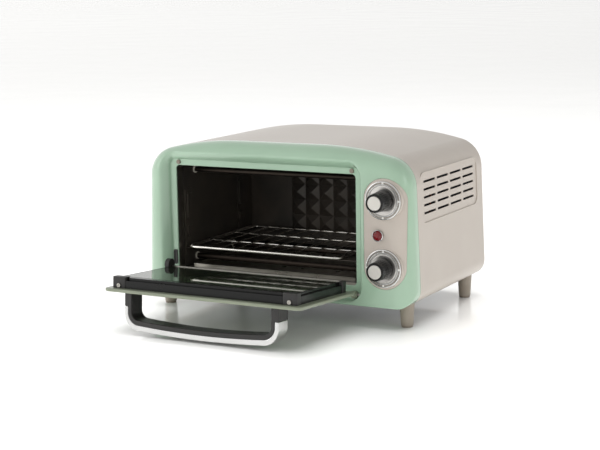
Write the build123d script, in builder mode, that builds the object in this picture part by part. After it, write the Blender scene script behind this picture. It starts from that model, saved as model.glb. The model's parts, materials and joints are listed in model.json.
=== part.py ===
"""Countertop mini oven: rounded fascia, wrap-round shell, drop-down glass door, wire rack and two dials.

Millimetres, +Z up, the feet stand on Z = 0 and the door opens towards -Y.  The door is built in its
closed position through rotated work planes, so it stands open here, as it rests.
"""
import os
from math import cos, radians, sin

from build123d import *

os.makedirs("parts", exist_ok=True)

# ---------------------------------------------------------------- driving dimensions
body_width = 382.0
body_top = 221.0
body_bottom = 27.5
body_depth = 250.0          # fascia front to the back of the shell
fascia_depth = 30.2
seam_gap = 0.6
crown_radius = 427.0        # gentle arch of the top
crown_angle = 13.3
corner_radius = 37.3        # upper corners
side_lean = 2.2             # the sides lean in towards the top, degrees
base_radius = 20.0          # lower corners
edge_roll = 24.0            # rounding of the fascia's front edge
fascia_wall = 2.0
sheet = 0.8                 # cavity sheet
shell_sheet = 1.2

door_x = -16.0              # middle of the opening and of the door
opening_half = 129.0
opening_low, opening_high = 50.0, 187.8
ledge_depth = 12.3          # recessed ledge round the opening
cavity_back_y = 206.0

hinge_depth, hinge_z = 5.0, 40.5
open_angle = 86.0
plate_half, plate_low, plate_high = 136.3, 47.0, 194.5
ear_half = 132.5              # outer faces of the plate's two hinge ears
plate_front, plate_thick = 6.0, 4.0
frame_half, frame_low, frame_high = 126.5, 59.0, 184.8
frame_back = 23.0
glass_thick = 4.0             # the glass lies flush in the back of its frame
pin_radius, pin_clearance = 2.0, 0.05
lug_radius = 7.5              # lug on the left hinge-side corner cap

handle_half, handle_leg, handle_width = 106.25, 9.6, 24.0
handle_end, handle_bow = 44.0, 4.5
handle_black, handle_silver = 5.5, 6.8
silver_start = 16.0
handle_top = 190.5

dial_x = 156.3
dial_heights = {"timer": 77.5, "thermostat": 160.3}
panel_radius = 26.8
bezel_radius = 23.4
boss_radius, boss_front = 24.6, -1.0
knob_front, knob_back = -27.0, -3.6
lamp_x, lamp_z = 149.5, 117.4

rack_x, rack_half = -27.5, 112.4
rack_front, rack_back, rack_z = 25.0, 196.0, 79.2
rack_wire, rack_rod = 1.8, 1.15

tray_half, tray_low, tray_front = 118.0, 50.2, 32.0

foot_x, foot_depths = 172.0, (32.0, 219.0)
rear_reach = body_depth + 8.0

door_reach = (plate_high - hinge_z) * sin(radians(open_angle)) - hinge_depth
front_y = (door_reach - rear_reach) / 2      # the fascia's front plane, with the footprint centred on Y = 0


# ---------------------------------------------------------------- work planes and shared shapes
def at_depth(depth):
    """Plane facing forwards, `depth` behind the fascia's front; its coordinates are X and Z."""
    return Plane.XZ.offset(-(front_y + depth))


def turned(y, z):
    """A point of the closed door, carried to the open position."""
    dy, dz = y - front_y - hinge_depth, z - hinge_z
    turn = radians(open_angle)
    new_y = front_y + hinge_depth + dy * cos(turn) - dz * sin(turn)
    return (0, new_y, hinge_z + dy * sin(turn) + dz * cos(turn))


def door_plane(depth):
    """at_depth carried with the open door: X and closed height, facing the door's outside."""
    turn = radians(open_angle)
    return Plane(origin=turned(front_y + depth, 0), x_dir=(1, 0, 0), z_dir=(0, -cos(turn), -sin(turn)))


def door_section(height):
    """Plane across the door at a closed height: X and distance outwards, facing the hinge."""
    turn = radians(open_angle)
    origin = turned(front_y + plate_front, height)
    return Plane(origin=origin, x_dir=(1, 0, 0), z_dir=(0, sin(turn), -cos(turn)))


def body_outline(inset, base):
    """The body's front view in the current sketch, `inset` smaller; with no base it is tall and square."""
    crown, corner = crown_radius - inset, corner_radius - inset
    down = 90 - side_lean
    turn, tip, lean = radians(crown_angle), radians(down), radians(side_lean)
    widest_z = body_bottom + base_radius * (1 + sin(lean))
    top = body_top - inset
    reach = crown * sin(turn) + corner * (sin(tip) - sin(turn))
    side_top = top - crown * (1 - cos(turn)) - corner * (cos(turn) - cos(tip))
    start = body_width / 2 - inset - reach - (side_top - widest_z) * sin(lean) / cos(lean)
    side_end = -60 if base is None else base + base_radius * (1 + sin(lean))
    run = (side_top - side_end) * sin(lean) / cos(lean)
    with BuildLine() as outline:
        flat = Line((0, top), (start, top))
        arch = JernArc(start=flat @ 1, tangent=(1, 0), radius=crown, arc_size=-crown_angle)
        shoulder = JernArc(start=arch @ 1, tangent=arch % 1, radius=corner, arc_size=-(down - crown_angle))
        side = Line(shoulder @ 1, ((shoulder @ 1).X + run, side_end))
        if base is None:
            Line(side @ 1, (0, side_end))
        else:
            curl = JernArc(start=side @ 1, tangent=side % 1, radius=base_radius, arc_size=-(90 + side_lean))
            Line(curl @ 1, (0, (curl @ 1).Y))
        mirror(about=Plane.YZ)
    make_face(outline.edges())


def pillow(inset):
    """Solid of the fascia's outside, `inset` smaller all over: rolled top and sides, plain bottom."""
    with BuildPart() as rolled:
        with BuildSketch(at_depth(inset)):
            body_outline(inset, None)
        extrude(amount=-(fascia_depth - inset))
        front_face = rolled.faces().sort_by(Axis.Y)[0]
        rim = [edge for edge in front_face.edges() if edge.center().Z > -30]
        fillet(rim, edge_roll - inset)
        with BuildSketch(at_depth(-5)):
            body_outline(inset, body_bottom + inset)
        extrude(amount=-(fascia_depth + 5), mode=Mode.INTERSECT)
    return rolled.part


def recess(grow, depth):
    """Dished recess round the door opening, `grow` larger, down to `depth`."""
    with BuildPart() as dish:
        sections = ((-0.6, 163.2, 126.0, 32.0, 205.2, 22.0), (3.6, 157.6, 123.3, 33.0, 200.2, 14.0),
                    (ledge_depth, 152.5, 120.4, 33.6, 196.2, 8.0))
        for level, left, right, low, high, radius in sections:
            with BuildSketch(at_depth(level)):
                with Locations(((right - left) / 2, (low + high) / 2)):
                    RectangleRounded(left + right + 2 * grow, high - low + 2 * grow, radius + grow)
        loft()
        if depth > ledge_depth:
            with BuildSketch(at_depth(ledge_depth)):
                with Locations(((120.4 - 152.5) / 2, (33.6 + 196.2) / 2)):
                    RectangleRounded(152.5 + 120.4 + 2 * grow, 196.2 - 33.6 + 2 * grow, 8 + grow)
            extrude(amount=-(depth - ledge_depth))
    return dish.part


def stadium(radius):
    """Upright round-ended outline round both dials, inside the current sketch."""
    low, high = dial_heights["timer"], dial_heights["thermostat"]
    with Locations((dial_x, (low + high) / 2)):
        SlotCenterToCenter(high - low, 2 * radius, rotation=90)


def opening(half, low, high, radius):
    """Rounded rectangle centred on the door, inside the current sketch."""
    with Locations((door_x, (low + high) / 2)):
        RectangleRounded(2 * half, high - low, radius)


def save(part, label):
    part.label = label
    export_step(part, f"parts/{label}.step")


def screws(label, places, head_radius, shank):
    """Round-headed cross-slot screws, each (plane, x, y); the planes face out of the sheet they hold."""
    with BuildPart() as fasteners:
        for plane, x, y in places:
            with BuildSketch(plane):
                with Locations((x, y)):
                    Circle(head_radius)
            extrude(amount=head_radius * 0.55)
            with BuildSketch(plane.offset(head_radius * 0.55)):
                with Locations((x, y)):
                    Rectangle(head_radius * 1.2, head_radius * 0.28)
                    Rectangle(head_radius * 0.28, head_radius * 1.2)
            extrude(amount=-head_radius * 0.3, mode=Mode.SUBTRACT)
            if shank:
                with BuildSketch(plane):
                    with Locations((x, y)):
                        Circle(head_radius * 0.5)
                extrude(amount=-shank)
    save(fasteners.part, label)


fascia_outside = pillow(0)
fascia_inside = pillow(fascia_wall)
panel_outside = pillow(-0.7)

# ---------------------------------------------------------------- front fascia
with BuildPart() as fascia_pocket:
    add(fascia_inside)
    add(recess(fascia_wall, ledge_depth + fascia_wall), mode=Mode.SUBTRACT)

with BuildPart() as front_fascia:
    add(fascia_outside)
    add(recess(0, ledge_depth), mode=Mode.SUBTRACT)
    add(fascia_pocket.part, mode=Mode.SUBTRACT)
    with BuildSketch(at_depth(ledge_depth - 2)):
        opening(opening_half, opening_low, opening_high, 5)
    extrude(amount=-(fascia_wall + 4), mode=Mode.SUBTRACT)
    # holes for the hinge pins
    with BuildSketch(Plane.YZ.offset(-164.0)):
        with Locations((front_y + hinge_depth, hinge_z)):
            Circle(pin_radius)
    extrude(amount=131.0 + 164.0, mode=Mode.SUBTRACT)
    # round-ended cut-out that the control panel fills
    with BuildSketch(at_depth(-3)):
        stadium(panel_radius)
    extrude(amount=-25, mode=Mode.SUBTRACT)
save(front_fascia.part, "front_fascia")

# ---------------------------------------------------------------- control panel and dials
with BuildPart() as control_panel:
    with BuildSketch(at_depth(-3)):
        stadium(panel_radius - 0.15)
    extrude(amount=-25)
    add(panel_outside, mode=Mode.INTERSECT)
    # flat round bosses that seat the dials on the curved panel
    with BuildSketch(at_depth(boss_front)):
        for height in dial_heights.values():
            with Locations((dial_x, height)):
                Circle(boss_radius)
    extrude(amount=-8)
    add(fascia_inside, mode=Mode.SUBTRACT)
    with BuildSketch(at_depth(-4)):
        for height in dial_heights.values():
            with Locations((dial_x, height)):
                Circle(5.0)
        with Locations((lamp_x, lamp_z)):
            Circle(4.6)
    extrude(amount=-30, mode=Mode.SUBTRACT)
save(control_panel.part, "control_panel")

for name, height in dial_heights.items():
    with BuildPart() as dial_bezel:
        # flat marked ring between two raised lips, seated on the boss
        with BuildSketch(at_depth(-2.2)):
            with Locations((dial_x, height)):
                Circle(bezel_radius)
                Circle(19.0, mode=Mode.SUBTRACT)
        extrude(amount=-1.2)
        for outer, inner in ((bezel_radius, 22.0), (19.9, 19.0)):
            with BuildSketch(at_depth(-3.4)):
                with Locations((dial_x, height)):
                    Circle(outer)
                    Circle(inner, mode=Mode.SUBTRACT)
            extrude(amount=-1.2)
    save(dial_bezel.part, f"dial_bezel_{name}")

    with BuildPart() as dial_ticks:
        with BuildSketch(at_depth(-2.6)):
            with Locations((dial_x, height)):
                with PolarLocations(20.95, 4):
                    Rectangle(1.9, 1.5)
        extrude(amount=-0.4)
    save(dial_ticks.part, f"dial_ticks_{name}")

    with BuildPart() as dial_dish:
        # shallow cone that rises to the bezel, with a dark groove's step at its rim
        with BuildSketch(at_depth(-3.0)):
            with Locations((dial_x, height)):
                Circle(18.95)
        extrude(amount=-2.0)
        with BuildSketch(at_depth(-3.0)):
            with Locations((dial_x, height)):
                Circle(18.0)
                Circle(16.4, mode=Mode.SUBTRACT)
        extrude(amount=-0.9, mode=Mode.SUBTRACT)
        with Locations(Location(at_depth(-1.95).from_local_coords((dial_x, height, 0)), (90, 0, 0))):
            Cone(9.5, 16.4, 1.1, align=(Align.CENTER, Align.CENTER, Align.MIN), mode=Mode.SUBTRACT)
        with BuildSketch(at_depth(-4)):
            with Locations((dial_x, height)):
                Circle(5.0)
        extrude(amount=-3, mode=Mode.SUBTRACT)
    save(dial_dish.part, f"dial_dish_{name}")

# ---------------------------------------------------------------- knobs and the controls behind them
for name, height in dial_heights.items():
    with BuildPart() as knob_barrel:
        with BuildSketch(at_depth(knob_back)):
            with Locations((dial_x, height)):
                Circle(12.6)
        with BuildSketch(at_depth(knob_front)):
            with Locations((dial_x, height)):
                Circle(11.2)
        loft()
        fillet(knob_barrel.edges().filter_by(GeomType.CIRCLE).group_by(Axis.Y)[0], 1.2)
        # seat of the cap, and the bore for the shaft
        with BuildSketch(at_depth(knob_front)):
            with Locations((dial_x, height)):
                Circle(8.6)
        extrude(amount=-1.6, mode=Mode.SUBTRACT)
        with BuildSketch(at_depth(knob_back)):
            with Locations((dial_x, height)):
                Circle(3.0)
        extrude(amount=14, mode=Mode.SUBTRACT)
        # grip flutes
        with BuildSketch(at_depth(knob_back)):
            with Locations((dial_x, height)):
                with PolarLocations(12.9, 24):
                    Circle(0.55)
        extrude(amount=19, mode=Mode.SUBTRACT)
    save(knob_barrel.part, f"knob_{name}")

    with BuildPart() as knob_cap:
        with BuildSketch(at_depth(knob_front + 1.6)):
            with Locations((dial_x, height)):
                Circle(8.6)
        extrude(amount=2.0)
        chamfer(knob_cap.edges().filter_by(GeomType.CIRCLE).group_by(Axis.Y)[0], 0.5)
    save(knob_cap.part, f"knob_cap_{name}")

    with BuildPart() as knob_shaft:
        with BuildSketch(at_depth(knob_back - 14)):
            with Locations((dial_x, height)):
                Circle(3.0)
        extrude(amount=-(36 - knob_back + 14))
    save(knob_shaft.part, f"knob_shaft_{name}")

with BuildPart() as thermostat_body:
    with BuildSketch(at_depth(26)):
        with Locations((dial_x, dial_heights["thermostat"])):
            RectangleRounded(42, 34, 3)
    extrude(amount=-18)
    with BuildSketch(at_depth(18)):
        with Locations((dial_x, dial_heights["thermostat"])):
            Circle(7)
    extrude(amount=-8)
    with BuildSketch(at_depth(0)):
        with Locations((dial_x, dial_heights["thermostat"])):
            Circle(3.0 + pin_clearance)
    extrude(amount=-36.3, mode=Mode.SUBTRACT)
save(thermostat_body.part, "thermostat_body")

with BuildPart() as timer_body:
    with BuildSketch(at_depth(26)):
        with Locations((dial_x, dial_heights["timer"])):
            Circle(23)
    extrude(amount=-26)
    with BuildSketch(at_depth(18)):
        with Locations((dial_x, dial_heights["timer"])):
            Circle(7)
    extrude(amount=-8)
    with BuildSketch(at_depth(0)):
        with Locations((dial_x, dial_heights["timer"])):
            Circle(3.0 + pin_clearance)
    extrude(amount=-36.3, mode=Mode.SUBTRACT)
save(timer_body.part, "timer_body")

with BuildPart() as timer_bell:
    # pressed gong on the back of the timer
    with BuildSketch(at_depth(52.4)):
        with Locations((dial_x, dial_heights["timer"])):
            Circle(16.5)
    extrude(amount=-9)
    fillet(timer_bell.edges().filter_by(GeomType.CIRCLE).group_by(Axis.Y)[-1], 7)
    offset(amount=-1.0, openings=timer_bell.faces().sort_by(Axis.Y)[0])
    with BuildSketch(at_depth(52.0)):
        with Locations((dial_x, dial_heights["timer"])):
            Circle(2.0)
    extrude(amount=-8.9)
save(timer_bell.part, "timer_bell")

with BuildPart() as control_bracket:
    # sheet strap across the control compartment that carries both controls
    with BuildSketch(at_depth(24.6)):
        with Locations((dial_x, 118.9)):
            RectangleRounded(46, 150, 4)
        for height in dial_heights.values():
            with Locations((dial_x, height)):
                Circle(7.0, mode=Mode.SUBTRACT)
        with Locations((lamp_x, lamp_z)):
            Circle(5.4, mode=Mode.SUBTRACT)
    extrude(amount=-1.4)
save(control_bracket.part, "control_bracket")

# ---------------------------------------------------------------- pilot lamp
with BuildPart() as lamp_bezel:
    with BuildSketch(at_depth(-2.4)):
        with Locations((lamp_x, lamp_z)):
            Circle(7.3)
            Circle(6.2, mode=Mode.SUBTRACT)
    extrude(amount=-6)
    front_rims = lamp_bezel.edges().filter_by(GeomType.CIRCLE).group_by(Axis.Y)[0]
    chamfer(front_rims.sort_by(SortBy.RADIUS)[-1], 0.45)
    add(panel_outside, mode=Mode.SUBTRACT)
save(lamp_bezel.part, "lamp_bezel")

with BuildPart() as lamp_lens:
    with BuildSketch(at_depth(-2.8)):
        with Locations((lamp_x, lamp_z)):
            Circle(6.15)
    extrude(amount=-6)
    add(panel_outside, mode=Mode.SUBTRACT)
    with BuildSketch(at_depth(-2.8)):
        with Locations((lamp_x, lamp_z)):
            Circle(6.15)
    with BuildSketch(at_depth(-5.0)):
        with Locations((lamp_x, lamp_z)):
            Circle(3.4)
    loft()
save(lamp_lens.part, "lamp_lens")

with BuildPart() as lamp_body:
    with BuildSketch(at_depth(2.4)):
        with Locations((lamp_x, lamp_z)):
            Circle(4.5)
    extrude(amount=-30)
save(lamp_body.part, "lamp_body")

# ---------------------------------------------------------------- outer shell, base and rear
shell_front = fascia_depth + seam_gap
side_angle = radians(side_lean)


def shell_solid(inset, end):
    with BuildPart() as wrap:
        with BuildSketch(at_depth(shell_front)):
            body_outline(inset, body_bottom + inset)
        extrude(amount=-(end - shell_front))
        fillet(wrap.faces().sort_by(Axis.Y)[-1].edges(), 9.0 - inset)
    return wrap.part


def side_x(height):
    """X of the leaning right side at a height."""
    return body_width / 2 - (height - body_bottom - base_radius) * sin(side_angle) / cos(side_angle)


vent_depth, vent_z = 133.5, 157.2
vent_plane = Plane(origin=(side_x(vent_z), front_y + vent_depth, vent_z), x_dir=(0, 1, 0),
                   z_dir=(cos(side_angle), 0, sin(side_angle)))
rear_face = at_depth(body_depth)
rear_out = Plane(origin=rear_face.origin, x_dir=(-1, 0, 0), z_dir=(0, 1, 0))
lip_screws = [(-110, 210.5), (0, 212.0), (110, 210.5), (-181, 110), (181, 110)]
with BuildPart() as outer_shell:
    add(shell_solid(0, body_depth))
    add(shell_solid(shell_sheet, body_depth - shell_sheet), mode=Mode.SUBTRACT)
    # rear opening inside a folded lip, and the opening in the bottom
    with BuildSketch(at_depth(body_depth - 20)):
        body_outline(13.5, body_bottom + 12)
    extrude(amount=-30, mode=Mode.SUBTRACT)
    with BuildSketch(Plane.XY.offset(body_bottom - 5)):
        with Locations((0, front_y + 142)):
            RectangleRounded(316, 186, 10)
    extrude(amount=12, mode=Mode.SUBTRACT)
    # clearance for the rear panel's screws
    with BuildSketch(rear_out):
        with Locations(*lip_screws):
            Circle(1.6)
    extrude(amount=-6, mode=Mode.SUBTRACT)
    # pressed vent field on the control side
    with BuildSketch(vent_plane.offset(-2.2)):
        RectangleRounded(184, 63, 12)
    extrude(amount=1.5)
    with BuildSketch(vent_plane.offset(-1.1)):
        RectangleRounded(181.5, 60.5, 10.8)
    extrude(amount=3, mode=Mode.SUBTRACT)
    with BuildSketch(vent_plane.offset(-4)):
        with Locations((0, 0.6)):
            with GridLocations(41.7, 9.7, 4, 5):
                SlotOverall(36.5, 2.9)
    extrude(amount=6, mode=Mode.SUBTRACT)
save(outer_shell.part, "outer_shell")

with BuildPart() as base_pan:
    with BuildSketch(Plane.XY.offset(body_bottom + shell_sheet)):
        with Locations((0, front_y + 142)):
            RectangleRounded(328, 198, 12)
        with Locations((0, front_y + 142)):
            with GridLocations(60, 22, 4, 3):
                SlotOverall(34, 4, mode=Mode.SUBTRACT)
    extrude(amount=1.2)
save(base_pan.part, "base_pan")

with BuildPart() as rear_panel:
    with BuildSketch(at_depth(body_depth - 2 * shell_sheet)):
        body_outline(11.0, body_bottom + 9)
        with Locations((door_x, tray_low + 3.6)):
            Rectangle(2 * tray_half + 4, 9.6, mode=Mode.SUBTRACT)
        with Locations((10, 150)):
            with GridLocations(44, 11, 5, 6):
                SlotOverall(34, 3.6, mode=Mode.SUBTRACT)
        with Locations((150, 66)):
            Circle(8.0, mode=Mode.SUBTRACT)
        with Locations(*lip_screws):
            Circle(1.6, mode=Mode.SUBTRACT)
    extrude(amount=shell_sheet)
save(rear_panel.part, "rear_panel")

screws("rear_screws", [(rear_out, x, z) for x, z in lip_screws], 3.2, 5)

with BuildPart() as rear_spacers:
    # two bumpers that keep the hot back off the wall
    with BuildSketch(rear_out.offset(-shell_sheet)):
        with Locations((-100, 190), (100, 190)):
            RectangleRounded(26, 14, 4)
    extrude(amount=rear_reach - body_depth + shell_sheet, taper=4)
save(rear_spacers.part, "rear_spacers")

with BuildPart() as cord_gland:
    # strain-relief bush of the mains inlet
    with BuildSketch(rear_out.offset(-12)):
        with Locations((-150, 66)):
            Circle(7.9)
    extrude(amount=10.8)
    with BuildSketch(rear_out.offset(-1.2)):
        with Locations((-150, 66)):
            Circle(10.5)
    extrude(amount=4.2)
    with BuildSketch(rear_out.offset(-12)):
        with Locations((-150, 66)):
            Circle(3.6)
    extrude(amount=20, mode=Mode.SUBTRACT)
save(cord_gland.part, "cord_gland")

with BuildPart() as body_envelope:
    with BuildSketch(at_depth(8)):
        body_outline(0, body_bottom)
    extrude(amount=-(body_depth - 16))

for side, sign in (("left", -1), ("right", 1)):
    for place, depth in zip(("front", "rear"), foot_depths):
        with BuildPart() as foot:
            # tapered foot, its top trimmed to the body's rounded lower corner
            for height, radius in ((2.5, 7.7), (body_bottom + 8, 9.7)):
                with BuildSketch(Plane.XY.offset(height)):
                    with Locations((sign * foot_x, front_y + depth)):
                        Circle(radius)
            loft()
            add(body_envelope.part, mode=Mode.SUBTRACT)
        save(foot.part, f"foot_{place}_{side}")

with BuildPart() as foot_pads:
    with BuildSketch(Plane.XY):
        for sign in (-1, 1):
            for depth in foot_depths:
                with Locations((sign * foot_x, front_y + depth)):
                    Circle(7.0)
    extrude(amount=2.5)
save(foot_pads.part, "foot_pads")

# ---------------------------------------------------------------- cavity
liner_half = opening_half + sheet
liner_high = opening_high + sheet
flange_front = ledge_depth + fascia_wall
with BuildPart() as opening_flange:
    # bright return between the fascia's ledge and the dark cavity, with a lip behind the ledge
    with BuildSketch(at_depth(flange_front)):
        opening(opening_half + 5, opening_low - 5, opening_high + 5, 8)
    extrude(amount=-sheet)
    with BuildSketch(at_depth(flange_front)):
        opening(liner_half, opening_low - sheet, liner_high, 5 + sheet)
    extrude(amount=-13)
    with BuildSketch(at_depth(flange_front)):
        opening(opening_half, opening_low, opening_high, 5)
    extrude(amount=-13, mode=Mode.SUBTRACT)
save(opening_flange.part, "opening_flange")

liner_front = flange_front + 13
heater_places = [(58.0, 61.0), (152.0, 61.0), (58.0, 177.0), (152.0, 177.0)]
heater_radius, insulator_radius = 3.4, 5.0


def heater_sketch(places, radius, mode=Mode.ADD):
    """Circles on the current side-facing sketch, one at each heater."""
    for depth, height in places:
        with Locations((front_y + depth, height)):
            Circle(radius, mode=mode)


with BuildPart() as cavity_wrap:
    # folded sheet: left side, ceiling and right side
    with BuildSketch(at_depth(liner_front)):
        opening(liner_half, opening_low - 12, liner_high, 6)
    extrude(amount=-(cavity_back_y - liner_front))
    with BuildSketch(at_depth(liner_front)):
        opening(opening_half, opening_low - 20, opening_high, 5.2)
    extrude(amount=-(cavity_back_y - liner_front), mode=Mode.SUBTRACT)
    with BuildSketch(Plane.YZ.offset(door_x - liner_half)):
        heater_sketch(heater_places, insulator_radius)
    extrude(amount=2 * liner_half, mode=Mode.SUBTRACT)
save(cavity_wrap.part, "cavity_wrap")

with BuildPart() as cavity_floor:
    with BuildSketch(at_depth(liner_front)):
        with Locations((door_x, opening_low - sheet / 2)):
            Rectangle(2 * opening_half, sheet)
    extrude(amount=-(cavity_back_y - liner_front))
save(cavity_floor.part, "cavity_floor")

pyramid_pitch, pyramid_height = 21.5, 4.6
with BuildPart() as cavity_back:
    # back wall with a field of pressed pyramids and the crumb tray's slot
    with BuildSketch(at_depth(cavity_back_y)):
        opening(liner_half, opening_low - 12, liner_high, 6)
        with Locations((door_x, tray_low + 3.4)):
            Rectangle(2 * tray_half + 4, 8.0, mode=Mode.SUBTRACT)
    extrude(amount=-sheet)
    with BuildSketch(at_depth(cavity_back_y)):
        with Locations((door_x, 131.0)):
            with GridLocations(pyramid_pitch, pyramid_pitch, 6, 5):
                Rectangle(pyramid_pitch - 0.1, pyramid_pitch - 0.1)
    extrude(amount=pyramid_height, taper=65)
save(cavity_back.part, "cavity_back")

ledge_z = rack_z - rack_wire - 0.3
upright_depths = (41.0, 175.0)
for name, sign in (("left", -1), ("right", 1)):
    wall_x = door_x + sign * opening_half
    edge_x = rack_x + sign * (rack_half - 4.0)
    with BuildPart() as rack_runner:
        # shelf for the rack's side rod, folded down against the wall
        with BuildSketch(Plane.XY.offset(ledge_z - sheet)):
            with Locations(((wall_x + edge_x) / 2, front_y + 116)):
                Rectangle(abs(wall_x - edge_x), 172)
        extrude(amount=sheet)
        with BuildSketch(Plane.YZ.offset(min(wall_x, wall_x - sign * sheet))):
            with Locations((front_y + 116, ledge_z - 4.5)):
                Rectangle(172, 9)
            for depth in upright_depths:
                with Locations((front_y + depth, 112)):
                    RectangleRounded(20, 84, 3)
        extrude(amount=sheet)
        # stand-off pads pressed into the two uprights, which keep food clear of the wall
        with BuildSketch(Plane.YZ.offset(min(wall_x, wall_x - sign * 3.0))):
            for depth in upright_depths:
                with Locations((front_y + depth, 131.0)):
                    RectangleRounded(13.5, 34, 3)
                with Locations((front_y + depth, 98.0)):
                    RectangleRounded(13.5, 14, 3)
        extrude(amount=3.0)
    save(rack_runner.part, f"rack_runner_{name}")

for name, places in (("lower", heater_places[:2]), ("upper", heater_places[2:])):
    with BuildPart() as heaters:
        with BuildSketch(Plane.YZ.offset(door_x - liner_half - 6)):
            heater_sketch(places, heater_radius)
        extrude(amount=2 * liner_half + 12)
    save(heaters.part, f"heaters_{name}")

with BuildPart() as heater_insulators:
    # ceramic bushes in the cavity's side walls, each a body inside and a collar outside
    collar = 5.0
    for low, high, radius in (
        (-liner_half - collar, -liner_half, 7.0),
        (-liner_half, -opening_half + 1.5, insulator_radius),
        (opening_half - 1.5, liner_half, insulator_radius),
        (liner_half, liner_half + collar, 7.0),
    ):
        with BuildSketch(Plane.YZ.offset(door_x + low)):
            heater_sketch(heater_places, radius)
            heater_sketch(heater_places, heater_radius, Mode.SUBTRACT)
        extrude(amount=high - low)
save(heater_insulators.part, "heater_insulators")

with BuildPart() as heat_shield:
    # partition between the cavity and the control compartment
    with BuildSketch(Plane.YZ.offset(121.6)):
        with Locations((front_y + 138, 116)):
            RectangleRounded(204, 160, 4)
            with GridLocations(40, 24, 4, 2):
                SlotOverall(28, 4, mode=Mode.SUBTRACT)
    extrude(amount=sheet)
save(heat_shield.part, "heat_shield")

with BuildPart() as terminal_block:
    with BuildSketch(Plane.YZ.offset(138)):
        with Locations((front_y + 206, 66)):
            RectangleRounded(24, 20, 2)
    extrude(amount=22)
    with BuildSketch(Plane.XY.offset(76)):
        with Locations((149, front_y + 206)):
            with GridLocations(7, 8, 3, 2):
                Circle(2.0)
    extrude(amount=-5, mode=Mode.SUBTRACT)
save(terminal_block.part, "terminal_block")

with BuildPart() as wiring:
    # insulated leads from the terminal block to the two controls
    for offset, name, end in ((-5.0, "timer", 52.1), (5.0, "thermostat", 44.1)):
        height = dial_heights[name]
        with BuildLine() as run:
            FilletPolyline((149 + offset, front_y + 193.9, 66), (149 + offset, front_y + 130, 66),
                           (174.6, front_y + 100, height), (174.6, front_y + end, height), radius=12)
        with BuildSketch(Plane(origin=run.line @ 0, z_dir=run.line % 0)):
            Circle(1.3)
        sweep(path=run.line)
save(wiring.part, "wiring")

# ---------------------------------------------------------------- wire rack and crumb tray
rack_left = rack_x - rack_half
rack_count, rack_corner = 11, 12.0
rack_length = rack_back - rack_front
rack_mid = front_y + (rack_front + rack_back) / 2
with BuildPart() as wire_rack:
    with BuildLine(Plane(origin=(rack_x, rack_mid, rack_z))) as hoop:
        half_y = rack_length / 2
        corners = [(-rack_half, -half_y), (rack_half, -half_y), (rack_half, half_y), (-rack_half, half_y)]
        FilletPolyline(*corners, radius=rack_corner, close=True)
    with BuildSketch(Plane(origin=hoop.line @ 0, z_dir=hoop.line % 0)):
        Circle(rack_wire)
    sweep(path=hoop.line)
    # rods from front to back, welded on top of the hoop and of two cross bars
    with BuildSketch(at_depth(rack_front - 0.9)):
        with Locations((rack_x, rack_z + 1.0)):
            with GridLocations(2 * (rack_half - 7.5) / (rack_count - 1), 1, rack_count, 1):
                Circle(rack_rod)
    extrude(amount=-(rack_length + 1.8))
    for depth in (78.0, 140.0):
        with BuildSketch(Plane.YZ.offset(rack_left)):
            with Locations((front_y + depth, rack_z - 0.25)):
                Circle(1.2)
        extrude(amount=2 * rack_half)
save(wire_rack.part, "wire_rack")

with BuildPart() as crumb_tray:
    # shallow tray over the cavity floor, drawn out through a slot in the back
    tray_end = body_depth + 0.4
    with BuildSketch(Plane.XY.offset(tray_low)):
        with Locations((door_x, front_y + (tray_front + tray_end) / 2)):
            Rectangle(2 * tray_half, tray_end - tray_front)
    extrude(amount=sheet)
    with BuildSketch(Plane.XY.offset(tray_low)):
        with Locations((door_x, front_y + (tray_front + 202) / 2)):
            Rectangle(2 * tray_half, 202 - tray_front)
            Rectangle(2 * tray_half - 2 * sheet, 202 - tray_front, mode=Mode.SUBTRACT)
        with Locations((door_x, front_y + tray_front + sheet / 2)):
            Rectangle(2 * tray_half, sheet)
    extrude(amount=5.5)
    # pull plate and its folded finger lip behind the rear panel
    with BuildSketch(at_depth(body_depth - 0.8)):
        with Locations((door_x, tray_low + 3.6)):
            RectangleRounded(2 * tray_half + 10, 15, 3)
    extrude(amount=-1.2)
    with BuildSketch(Plane.XY.offset(tray_low + 9.9)):
        with Locations((door_x, front_y + body_depth + 3.4)):
            Rectangle(70, 7)
    extrude(amount=1.2)
save(crumb_tray.part, "crumb_tray")

# ---------------------------------------------------------------- hinge and stops on the body
with BuildPart() as hinge_pins:
    for sign in (-1, 1):
        ear = door_x + sign * (ear_half - 4.8)
        head = -165.5 if sign < 0 else 130.0
        for low, high, radius in ((head, ear, pin_radius), (head, head + sign * 2.0, pin_radius + 0.8)):
            with BuildSketch(Plane.YZ.offset(min(low, high))):
                with Locations((front_y + hinge_depth, hinge_z)):
                    Circle(radius)
            extrude(amount=abs(high - low))
save(hinge_pins.part, "hinge_pins")

with BuildPart() as jamb_plate:
    # slotted guide plate on the ledge, just above the hinge on the side away from the controls
    with BuildSketch(at_depth(ledge_depth)):
        with Locations((-148.9, 67)):
            RectangleRounded(5.6, 19, 1.5)
    extrude(amount=1.4)
    with BuildSketch(at_depth(ledge_depth - 1.4)):
        with Locations((-148.9, 67)):
            SlotOverall(15, 2.8, rotation=90)
    extrude(amount=-0.9, mode=Mode.SUBTRACT)
save(jamb_plate.part, "jamb_plate")

with BuildPart() as door_buffers:
    with BuildSketch(at_depth(ledge_depth)):
        with Locations((-140.5, 192.0), (108.5, 192.0)):
            Circle(3.0)
    extrude(amount=1.9)
    chamfer(door_buffers.edges().filter_by(GeomType.CIRCLE).group_by(Axis.Y)[0], 0.5)
save(door_buffers.part, "door_buffers")

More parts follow.
